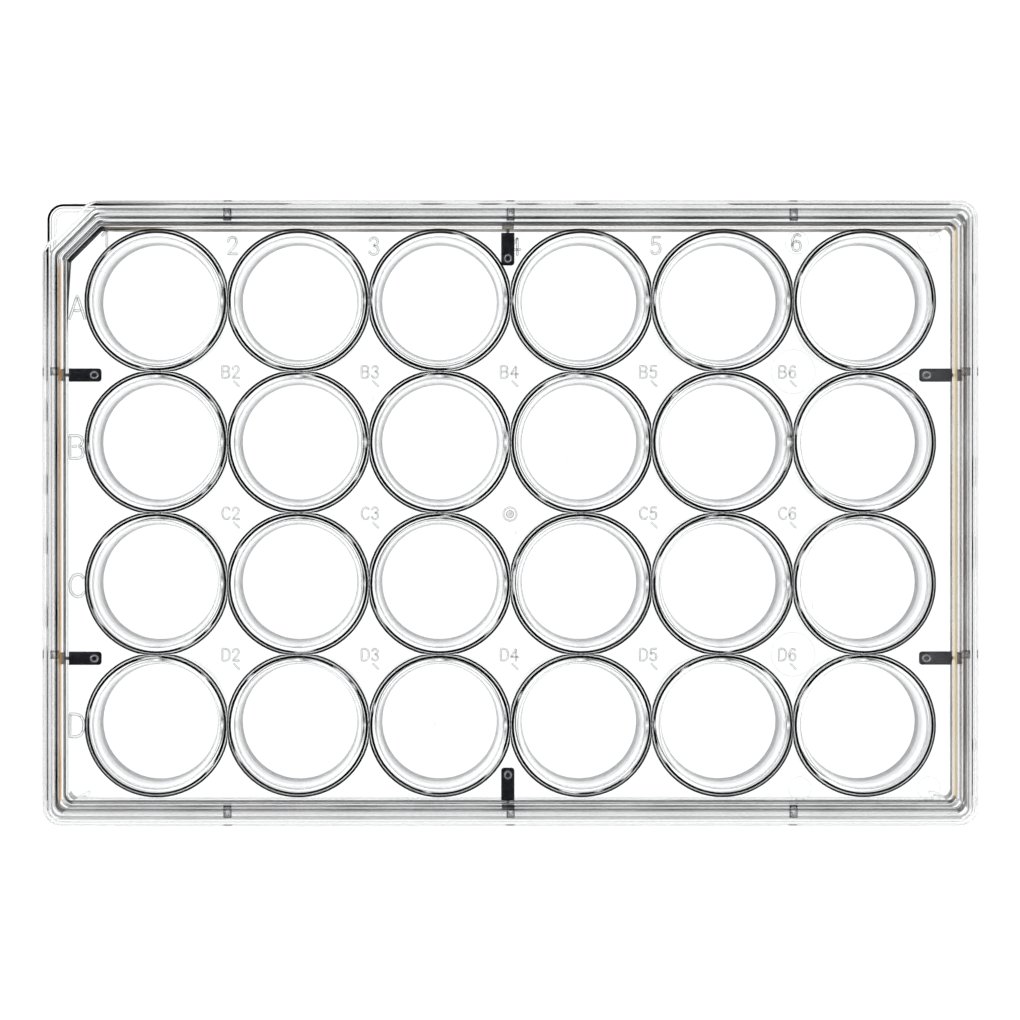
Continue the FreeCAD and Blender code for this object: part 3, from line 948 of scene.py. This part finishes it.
@dataclass
class LidLugs:
    """What stands inside the lid: spacer tabs that keep it off the wells, and ribs that centre it.

    The lid lies loose, so its tabs have slipped: those of the short sides by the first of slips, and
    those of the long sides by the second.
    """

    sizes: Sizes
    wide: float = 1.80
    reach: float = 4.80
    deep: float = 0.70
    tip: float = 0.20
    clear: float = 0.35
    tip_round: float = 0.42
    slips: tuple[tuple[float, float], ...] = ((0.0, -0.50), (-0.38, -0.50))
    rib_wide: float = 1.10
    rib_clear: float = 0.25

    @staticmethod
    def place(flat: np.ndarray, out: tuple[int, int], along: float,
              shift: tuple[float, float] = (0.0, 0.0)) -> np.ndarray:
        """Moves a plan drawn as distance outwards and distance along a side to its place on that side.

        Args:
            flat: the plan, count by 2.
            out: the direction outwards of the side.
            along: the place along the side.
            shift: how far the loose lid has slipped.

        Returns:
            The plan in place, count by 2.
        """
        if out[0]:
            return np.column_stack([flat[:, 0] * out[0], along + flat[:, 1] * out[0]]) + shift
        return np.column_stack([along - flat[:, 1] * out[1], flat[:, 0] * out[1]]) + shift

    @staticmethod
    def oblong(near: float, far: float, half: float) -> np.ndarray:
        """An oblong in plan from near to far outwards, 4 by 2."""
        return np.array([(near, -half), (far, -half), (far, half), (near, half)])

    def tab_plan(self, root: float, free: float) -> np.ndarray:
        """A tab in plan: straight sides, and a free end whose two corners are quarter circles.

        Args:
            root: distance outwards of its root.
            free: distance outwards of its free end.

        Returns:
            The outline, count by 2.
        """
        half, turn = self.wide / 2, np.linspace(0, math.pi / 2, 6)
        u = free + self.tip_round * (1 - np.sin(turn))
        v = half - self.tip_round * (1 - np.cos(turn))
        return np.column_stack([np.concatenate([[root] * 2, u, u[::-1]]),
                                np.concatenate([[-half, half], v, -v[::-1]])])

    def tabs(self) -> bpy.types.Object:
        """Builds the tabs, each with a neck and a foot at its root and a ring on the lid above its end.

        The underside of a tab falls evenly towards its root. A tab is painted dark, the ones on the
        right side less so, and its neck, foot and ring carry painted shade.

        Returns:
            The finished mesh object.
        """
        skin = Skin()
        size = self.sizes
        low, high = size.top_z + SEAM, size.lid_under - 0.01
        turn = np.arange(24) * math.tau / 24
        for out, along in (((-1, 0), PITCH), ((-1, 0), -PITCH), ((1, 0), PITCH), ((1, 0), -PITCH),
                           ((0, 1), 0.0), ((0, -1), 0.0)):
            edge, slip = [*zip(size.deck_edge, self.slips)][0 if out[0] else 1]
            root, free = edge - self.clear, edge - self.reach
            plan = self.tab_plan(root, free)
            fall = (plan[:, 0] - free) / (root - free) * (self.deep - self.tip)
            # painted shade: the tab dark, lighter on the right side, with a dark line along its edge
            skin.block(self.place(plan, out, along, slip), size.top_z - self.tip - fall, high, 0.10,
                       (Tone.SHADE_DEEP if out == (1, 0) else Tone.DARK, Tone.LINE))
            # the neck and the foot are thin blocks over the plate's wall that carry painted shade at the
            # tab's root; the ring's edges are painted shade round the tab's end
            neck = self.oblong(root + 0.02, edge + 0.10, 0.22)
            skin.block(self.place(neck, out, along, slip), low, high, 0.08, (Tone.SHADE_DEEP, Tone.SHADE_DEEP))
            foot = self.oblong(edge + 0.12, edge + 1.0, self.wide / 2 - 0.1)
            skin.block(self.place(foot, out, along, slip), low, high, 0.08, (Tone.SHADE_MID, Tone.SHADE_DEEP))
            oval = np.column_stack([free + 0.95 + 0.48 * np.cos(turn), 0.42 * np.sin(turn)])
            skin.bead(self.place(oval, out, along, slip), size.lid_face, 0.10, 0.03, True, Tone.STEEL)
        return skin.mesh("lid_tabs")

    def ribs(self) -> bpy.types.Object:
        """Builds upright ribs between the lid's wall and the plate's, each with a pad over that wall.

        Returns:
            The finished mesh object.
        """
        skin = Skin()
        size, half = self.sizes, self.rib_wide / 2
        top, low = size.lid_under - SEAM, size.lid_edge_z + 1
        long_side, short_side = (-2 * PITCH, 0.0, 2 * PITCH), (-PITCH, PITCH)
        sides = {(0, 1): long_side, (0, -1): long_side, (1, 0): short_side, (-1, 0): short_side}
        for out, places in sides.items():
            near = size.upper.half_x if out[0] else size.upper.half_y
            far = (size.lid_x if out[0] else size.lid_y) - size.lid_wall - SEAM
            for along in places:
                rib = self.oblong(near + self.rib_clear, far, half)
                skin.block(self.place(rib, out, along), low, size.top_z, 0.05)
                # the pad carries painted shade, deeper along its edge
                pad = self.oblong(near - 0.70, far, half)
                skin.block(self.place(pad, out, along), size.top_z + SEAM, top, 0.09,
                           (Tone.GLANCE_SHADE, Tone.SHADE_MID))
        return skin.mesh("lid_ribs")


Strokes = tuple[tuple[tuple[float, float], ...], ...]

LETTERS: dict[str, Strokes] = {  # plain single-line characters, one unit tall
    "A": (((0.0, 0.0), (0.33, 1.0), (0.66, 0.0)), ((0.24, 0.34), (0.42, 0.34))),
    "B": (((0.0, 0.0), (0.0, 1.0), (0.36, 1.0), (0.52, 0.92), (0.56, 0.76), (0.50, 0.60), (0.40, 0.53),
           (0.54, 0.45), (0.60, 0.27), (0.54, 0.08), (0.38, 0.0), (0.0, 0.0)),
          ((0.15, 0.53), (0.26, 0.53))),
    "C": (((0.60, 0.84), (0.50, 0.96), (0.34, 1.0), (0.14, 0.92), (0.02, 0.70), (0.0, 0.48),
           (0.04, 0.24), (0.16, 0.07), (0.34, 0.0), (0.51, 0.04), (0.62, 0.18)),),
    "D": (((0.0, 0.0), (0.0, 1.0), (0.30, 1.0), (0.50, 0.90), (0.60, 0.70), (0.62, 0.48), (0.58, 0.25),
           (0.48, 0.08), (0.30, 0.0), (0.0, 0.0)),),
    "1": (((0.05, 0.70), (0.32, 1.0), (0.32, 0.0)),),
    "2": (((0.03, 0.74), (0.09, 0.92), (0.28, 1.0), (0.47, 0.93), (0.54, 0.74), (0.46, 0.52),
           (0.20, 0.22), (0.03, 0.0), (0.55, 0.0)),),
    "3": (((0.04, 0.84), (0.16, 0.98), (0.30, 1.0), (0.47, 0.92), (0.52, 0.76), (0.44, 0.60),
           (0.26, 0.54), (0.46, 0.46), (0.55, 0.28), (0.47, 0.07), (0.28, 0.0), (0.12, 0.04),
           (0.02, 0.18)),),
    "4": (((0.44, 0.0), (0.44, 1.0), (0.0, 0.30), (0.60, 0.30)),),
    "5": (((0.52, 1.0), (0.10, 1.0), (0.05, 0.55), (0.28, 0.64), (0.48, 0.54), (0.55, 0.32),
           (0.46, 0.08), (0.26, 0.0), (0.08, 0.05), (0.01, 0.18)),),
    "6": (((0.50, 0.90), (0.34, 1.0), (0.16, 0.92), (0.04, 0.68), (0.02, 0.34), (0.10, 0.08),
           (0.28, 0.0), (0.47, 0.08), (0.54, 0.30), (0.46, 0.52), (0.28, 0.60), (0.10, 0.50),
           (0.03, 0.34)),),
}


@dataclass
class Marks:
    """Raised names of the wells, the gate mark, ejector rings, and fine scratches on the lid."""

    sizes: Sizes
    letter_step: float = 0.86
    letter_half: float = 0.30
    letter_tall: float = 0.10
    numbers_at: tuple[tuple[float, float], ...] = (
        (-55.1, 37.4), (-37.9, 36.5), (-18.6, 36.4), (0.62, 36.4), (19.9, 36.5), (39.1, 36.9))
    rows_x: float = -59.2
    rows_y: tuple[float, ...] = (28.1, 9.0, -9.9, -29.0)
    label_pitch: float = 19.0
    number_size: tuple[float, float] = (2.3, 0.17)
    letter_size: tuple[float, float] = (3.1, 0.20)
    label_size: tuple[float, float] = (1.6, 0.13)
    tick: tuple[tuple[float, float], ...] = ((0.40, -1.30), (1.10, -2.00))
    gate_at: tuple[float, float] = (-0.06, -0.16)
    # radius, half width and the painted shade of each ring's edges
    gate_rings: tuple[tuple[float, float, Tone], ...] = (
        (0.9, 0.12, Tone.SHADE_DEEP), (0.32, 0.20, Tone.DARK))
    pins: tuple[tuple[float, float, float], ...] = (
        (39.1, 36.9, 1.57), (57.15, 37.1, 1.57), (53.9, 17.5, 1.57), (39.5, -37.6, 1.57),
        (57.15, -37.6, 1.57), (2 * PITCH, PITCH, 3.0), (2 * PITCH, -PITCH, 3.0))
    scratches: int = 26
    scratch_long: tuple[float, ...] = (0.12, 0.16, 0.7)
    scratch_half: float = 0.035
    scratch_tall: float = 0.01

    @staticmethod
    def dense(path: np.ndarray, step: float) -> np.ndarray:
        """The same path with more points, found by straight interpolation along its length.

        Args:
            path: points in plan, count by 2.
            step: the largest gap between points.

        Returns:
            The path's own points and evenly spaced ones between them.
        """
        length = np.append(0, np.cumsum(np.linalg.norm(np.diff(path, axis=0), axis=1)))
        count = max(3, int(length[-1] / step))
        at = np.union1d(length, np.linspace(0, length[-1], count))
        return np.column_stack([np.interp(at, length, path[:, i]) for i in (0, 1)])

    def write(self, skin: Skin, text: str, x: float, y: float, tall: float, half: float) -> None:
        """Adds raised characters centred at a place on the deck.

        Args:
            skin: the surface they join.
            text: letters and digits.
            x: middle of the text.
            y: middle of the text.
            tall: height of the characters.
            half: half the width of a stroke.
        """
        step = self.letter_step
        for i, letter in enumerate(text):
            left = x + (i * step - (len(text) - 1) * step / 2 - self.letter_half) * tall
            for stroke in LETTERS[letter]:
                path = self.dense(np.array(stroke) * tall + (left, y - tall / 2), 0.4)
                closed = stroke[0] == stroke[-1]
                # the strokes' edges carry painted shade
                skin.bead(path[:-1] if closed else path, self.sizes.deck_z, half, self.letter_tall,
                          closed, Tone.SHADE_MID)

    def ring(self, skin: Skin, at: tuple[float, float], radius: float, half: float, tone: Tone,
             tall: float = 0.05) -> None:
        """Adds a raised circular line on the deck.

        Args:
            skin: the surface it joins.
            at: its middle.
            radius: its radius.
            half: half the width of the line.
            tone: the tone of its edges.
            tall: its height.
        """
        turn = np.arange(40) * math.tau / 40
        path = np.column_stack([at[0] + radius * np.cos(turn), at[1] + radius * np.sin(turn)])
        skin.bead(path, self.sizes.deck_z, half, tall, closed=True, tone=tone)

    def names(self, skin: Skin) -> None:
        """Adds the numbers of the columns, the letters of the rows and the names of the inner wells.

        Each name of an inner well stands beside it, with a short tick that points to it.

        Args:
            skin: the surface they join.
        """
        for i, (x, y) in enumerate(self.numbers_at):
            self.write(skin, str(i + 1), x, y, *self.number_size)
        for letter, y in zip("ABCD", self.rows_y):
            self.write(skin, letter, self.rows_x, y, *self.letter_size)
        for row, letter in enumerate("BCD"):
            for column in range(2, COLUMNS + 1):
                if (letter, column) == ("C", 4):
                    continue  # the gate mark takes its place
                x, y = (column - 4) * self.label_pitch - 0.15, (1 - row) * PITCH
                self.write(skin, f"{letter}{column}", x, y - 0.05, *self.label_size)
                tick = self.dense(np.array(self.tick) + (x, y), 0.3)
                # the tick's edges carry a pale painted shade
                skin.bead(tick, self.sizes.deck_z, self.label_size[1], self.letter_tall, tone=Tone.PALE)

    def build(self) -> bpy.types.Object:
        """Builds the marks of the deck and the scratches on the lid; their edges carry painted shade.

        Returns:
            The finished mesh object.
        """
        skin = Skin()
        self.names(skin)
        for x, y, radius in self.pins:
            # the ejector rings' edges carry a faint painted shade
            self.ring(skin, (x, y), radius, 0.05, Tone.FAINT, 0.015)
        chance = np.random.default_rng(24)
        count = self.scratches
        for x, y, turn, long in zip(chance.uniform(-55, 55, count), chance.uniform(-34, 34, count),
                                    chance.uniform(0, math.tau, count),
                                    chance.choice(self.scratch_long, count)):
            scratch = np.array([(x, y), (x + long * math.cos(turn), y + long * math.sin(turn))])
            skin.bead(self.dense(scratch, 0.2), self.sizes.lid_face, self.scratch_half,
                      self.scratch_tall, tone=Tone.PALE)
        for radius, half, tone in self.gate_rings:
            self.ring(skin, self.gate_at, radius, half, tone)
        return skin.mesh("deck_marks")


# ------------------------------------------------------------------ materials


class Field:
    """A value socket with arithmetic; each operation adds one Math node."""

    def __init__(self, tree: "ShaderTree", socket: bpy.types.NodeSocket) -> None:
        """Wraps one output socket."""
        self.tree = tree
        self.socket = socket

    def math(self, operation: str, *others: "Field | float") -> "Field":
        """One Math node: its operation on this value and others."""
        values = dict(enumerate((self, *others)))
        return self.tree.node("ShaderNodeMath", {"operation": operation}, values)[0]

    def __add__(self, other: "Field | float") -> "Field":
        """self + other."""
        return self.math("ADD", other)

    __radd__ = __add__

    def __sub__(self, other: "Field | float") -> "Field":
        """self - other."""
        return self.math("SUBTRACT", other)

    def __rsub__(self, other: float) -> "Field":
        """other - self."""
        return self.math("MULTIPLY", -1.0) + other

    def __mul__(self, other: "Field | float") -> "Field":
        """self * other."""
        return self.math("MULTIPLY", other)

    __rmul__ = __mul__

    def smooth(self, low: float, high: float) -> "Field":
        """A smooth step, by Blender's own smooth mapping.

        Args:
            low: it is 0 below this.
            high: it is 1 above this.

        Returns:
            The step as a field.
        """
        node = self.tree.raw("ShaderNodeMapRange", {"interpolation_type": "SMOOTHSTEP"},
                             {"Value": self, "From Min": low, "From Max": high})
        return Field(self.tree, node.outputs[0])


class ShaderTree:
    """Builds one node tree."""

    def __init__(self, owner: bpy.types.Material | bpy.types.World) -> None:
        """Starts an empty tree.

        Args:
            owner: the material or world that it belongs to.
        """
        owner.use_nodes = True
        self.tree = owner.node_tree
        self.tree.nodes.clear()

    def raw(self, kind: str, settings: dict | None = None, values: dict | None = None) -> bpy.types.Node:
        """Adds a node: its settings first, then its sockets.

        Args:
            kind: the node's type.
            settings: its own settings by name.
            values: values or fields by socket name or number.

        Returns:
            The node.
        """
        node = self.tree.nodes.new(kind)
        for key, value in (settings or {}).items():
            setattr(node, key, value)
        for key, value in (values or {}).items():
            if isinstance(value, Field):
                self.tree.links.new(value.socket, node.inputs[key])
            else:
                node.inputs[key].default_value = value
        return node

    def node(self, kind: str, settings: dict | None = None, values: dict | None = None) -> list[Field]:
        """As raw, and returns the node's outputs as fields."""
        return [Field(self, out) for out in self.raw(kind, settings, values).outputs]

    def position(self) -> tuple[Field, Field, Field]:
        """Object coordinates.

        Returns:
            X, Y and Z as fields, in metres.
        """
        place = self.raw("ShaderNodeTexCoord").outputs["Object"]
        split = self.node("ShaderNodeSeparateXYZ", {}, {0: Field(self, place)})
        return split[0], split[1], split[2]

    def light_path(self, name: str) -> Field:
        """One output of Light Path, such as Is Shadow Ray."""
        return Field(self, self.raw("ShaderNodeLightPath").outputs[name])


@dataclass(frozen=True)
class ClearPlastic:
    """Polished clear polystyrene: bends light, with painted shade along its rounded edges."""

    name: str
    slot: str
    tint: tuple[float, float, float, float] = (0.985, 0.990, 0.993, 1.0)
    ior: float = 1.59
    shadow: float = 0.93
    glance_power: float = 4.0

    def make(self) -> bpy.types.Material:
        """Builds the material.

        The clear body and the painted shade of the edges are mixed by the larger of two amounts: how
        much the tone hides, and the glance times the fourth power of the facing. Shadow rays pass
        through.

        Returns:
            The material.
        """
        material = bpy.data.materials.new(self.name)
        tree = ShaderTree(material)
        tone = tree.node("ShaderNodeAttribute", {"attribute_name": "tone"})
        body = tree.node("ShaderNodeBsdfPrincipled", {}, {
            "Base Color": self.tint, "Roughness": 0.0, "IOR": self.ior, "Transmission Weight": 1.0,
        })[0]
        # painted shade: a dull surface in the tone's dark colour
        edge = tree.node("ShaderNodeBsdfPrincipled", {}, {
            "Base Color": tone[0], "Roughness": 1.0, "Specular IOR Level": 0.0,
        })[0]
        facing = tree.node("ShaderNodeLayerWeight", {}, {"Blend": 0.5})[1]
        glance = tree.node("ShaderNodeAttribute", {"attribute_name": "glance"})[2]
        hidden = tone[3].math("MAXIMUM", glance * facing.math("POWER", self.glance_power))
        seen = tree.node("ShaderNodeMixShader", {}, {0: hidden, 1: body, 2: edge})[0]
        through = tree.node("ShaderNodeBsdfTransparent", {}, {"Color": (self.shadow,) * 3 + (1.0,)})[0]
        shadow = tree.light_path("Is Shadow Ray")
        mix = tree.node("ShaderNodeMixShader", {}, {0: shadow, 1: seen, 2: through})[0]
        tree.raw("ShaderNodeOutputMaterial", {}, {"Surface": mix})
        return material


# ------------------------------------------------------------------ studio


@dataclass
class Studio:
    """Table, light and camera, in metres but for the table, which is in millimetres as pieces are."""

    camera_at: tuple[float, float, float] = (-0.01217, 0.00875, 1.1310)
    aim: tuple[float, float, float] = (-0.00007, 0.00040, 0.0195)
    sensor: float = 36.0
    lens: float = 287.470588
    bright_reach: float = 0.085
    dark_reach: float = 0.17
    bright: float = 1.3
    dim: float = 0.30
    paper: float = 0.86
    paper_glow: float = 0.35
    table_half: float = 3000.0
    table_z: float = -0.02
    horizon: float = 0.27
    sky: float = 0.43
    sky_heights: tuple[float, float] = (0.30, 0.75)
    dark_heights: tuple[float, float] = (0.90, 0.975)
    darkest: float = 0.015
    soft: float = 0.5
    lamps_at: tuple[tuple[str, tuple[float, float, float], float, float], ...] = (
        ("key", (-0.9, 0.8, 1.6), 16.0, 1.2), ("fill", (1.1, -0.6, 1.3), 7.0, 1.0))

    @staticmethod
    def glow(tree: "ShaderTree", strength: float) -> Field:
        """A white light of the given strength."""
        return tree.node("ShaderNodeEmission", {}, {"Color": (1, 1, 1, 1), "Strength": strength})[0]

    def table(self) -> bpy.types.Object:
        """A pale table; what is seen through or in the plastic fades to dim away from the plate.

        Returns:
            The table, as part of the stage.
        """
        skin = Skin()
        steps = np.linspace(-1, 1, 3) * self.table_half
        x, y = np.meshgrid(steps, steps)
        skin.grid(np.stack([x, y, np.full_like(x, self.table_z)], axis=-1), wrap=False)
        piece = skin.mesh("table")
        material = bpy.data.materials.new("table_paper")
        tree = ShaderTree(material)
        x_field, y_field, _ = tree.position()
        away = ((x_field * x_field) + (y_field * y_field)).math("SQRT")
        near = 1 - away.smooth(self.bright_reach, self.dark_reach)
        paper = tree.node("ShaderNodeBsdfDiffuse", {}, {"Color": (self.paper,) * 3 + (1.0,)})[0]
        lit = tree.node("ShaderNodeAddShader", {}, {0: paper, 1: self.glow(tree, self.paper_glow)})[0]
        glow = tree.node("ShaderNodeMixShader", {},
                         {0: near, 1: self.glow(tree, self.dim), 2: self.glow(tree, self.bright)})[0]
        bent = tree.light_path("Is Transmission Ray").math("MAXIMUM", tree.light_path("Is Glossy Ray"))
        surface = tree.node("ShaderNodeMixShader", {}, {0: bent, 1: lit, 2: glow})[0]
        tree.raw("ShaderNodeOutputMaterial", {}, {"Surface": surface})
        piece.data.materials.append(material)
        return piece

    def world(self) -> None:
        """Pale all round for the eye; what the plastic shows is dim at the horizon and dark overhead.

        Its strength by the height of a direction is one smooth step up, times one smooth step down.
        """
        world = bpy.data.worlds.new("room")
        bpy.context.scene.world = world
        tree = ShaderTree(world)
        direction = tree.node("ShaderNodeTexCoord")[0]
        height = tree.node("ShaderNodeSeparateXYZ", {}, {0: direction})[2]
        seen = tree.light_path("Is Camera Ray")
        diffuse = tree.light_path("Is Diffuse Ray")
        upper = height.smooth(*self.sky_heights) * self.sky + self.horizon
        room = upper * (1 - height.smooth(*self.dark_heights)) + self.darkest
        strength = seen + (1 - seen) * (diffuse * self.soft + (1 - diffuse) * room)
        back = tree.node("ShaderNodeBackground", {}, {"Color": (1, 1, 1, 1), "Strength": strength})[0]
        tree.raw("ShaderNodeOutputWorld", {}, {"Surface": back})

    def lamps(self) -> None:
        """One broad soft lamp overhead to the back left and a weaker one to the front right."""
        for name, place, power, size in self.lamps_at:
            lamp = bpy.data.lights.new(name, "AREA")
            lamp.energy, lamp.size = power, size
            holder = bpy.data.objects.new(name, lamp)
            holder.location = place
            holder.rotation_euler = (-Vector(place)).to_track_quat("-Z", "Y").to_euler()
            bpy.context.scene.collection.objects.link(holder)

    def camera(self) -> None:
        """A long lens above the plate, a little left of its middle, level with the plate's sides."""
        data = bpy.data.cameras.new("camera")
        data.sensor_width = self.sensor
        data.lens = self.lens
        data.clip_end = 20.0
        holder = bpy.data.objects.new("camera", data)
        back = (Vector(self.camera_at) - Vector(self.aim)).normalized()
        right = Vector((0, 1, 0)).cross(back).normalized()
        up = back.cross(right)
        turn = Matrix((right, up, back)).transposed().to_4x4()
        holder.matrix_world = Matrix.Translation(self.camera_at) @ turn
        bpy.context.scene.collection.objects.link(holder)
        bpy.context.scene.camera = holder

    def build(self) -> None:
        """Builds all of it."""
        self.table()
        self.world()
        self.lamps()
        self.camera()
        bpy.context.scene.view_settings.view_transform = "Standard"


def dress(piece: bpy.types.Object, finish: ClearPlastic) -> None:
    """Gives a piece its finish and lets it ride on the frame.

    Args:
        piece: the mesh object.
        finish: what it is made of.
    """
    piece.data.materials.append(finish.make())
    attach(piece, "root")


def main() -> None:
    """Builds the plate, the lid and the studio."""
    logging.basicConfig(level=logging.INFO)
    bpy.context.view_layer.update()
    Studio().build()
    sizes = Sizes.from_frame()
    plate = Plate(sizes).build()
    dress(plate, ClearPlastic("plate_clear", "clear_plate"))
    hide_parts("plate")
    dress(CutFillet(sizes).build(), ClearPlastic("fillet_clear", "clear_plate"))
    dress(Webs(sizes).build(), ClearPlastic("web_clear", "clear_plate"))
    dress(Marks(sizes).build(), ClearPlastic("mark_clear", "clear_plate"))
    lid = Lid(sizes).build()
    dress(lid, ClearPlastic("lid_clear", "clear_lid"))
    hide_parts("lid")
    lugs = LidLugs(sizes)
    dress(lugs.tabs(), ClearPlastic("tab_clear", "clear_lid"))
    dress(lugs.ribs(), ClearPlastic("rib_clear", "clear_lid"))


if __name__ == "__main__":
    main()
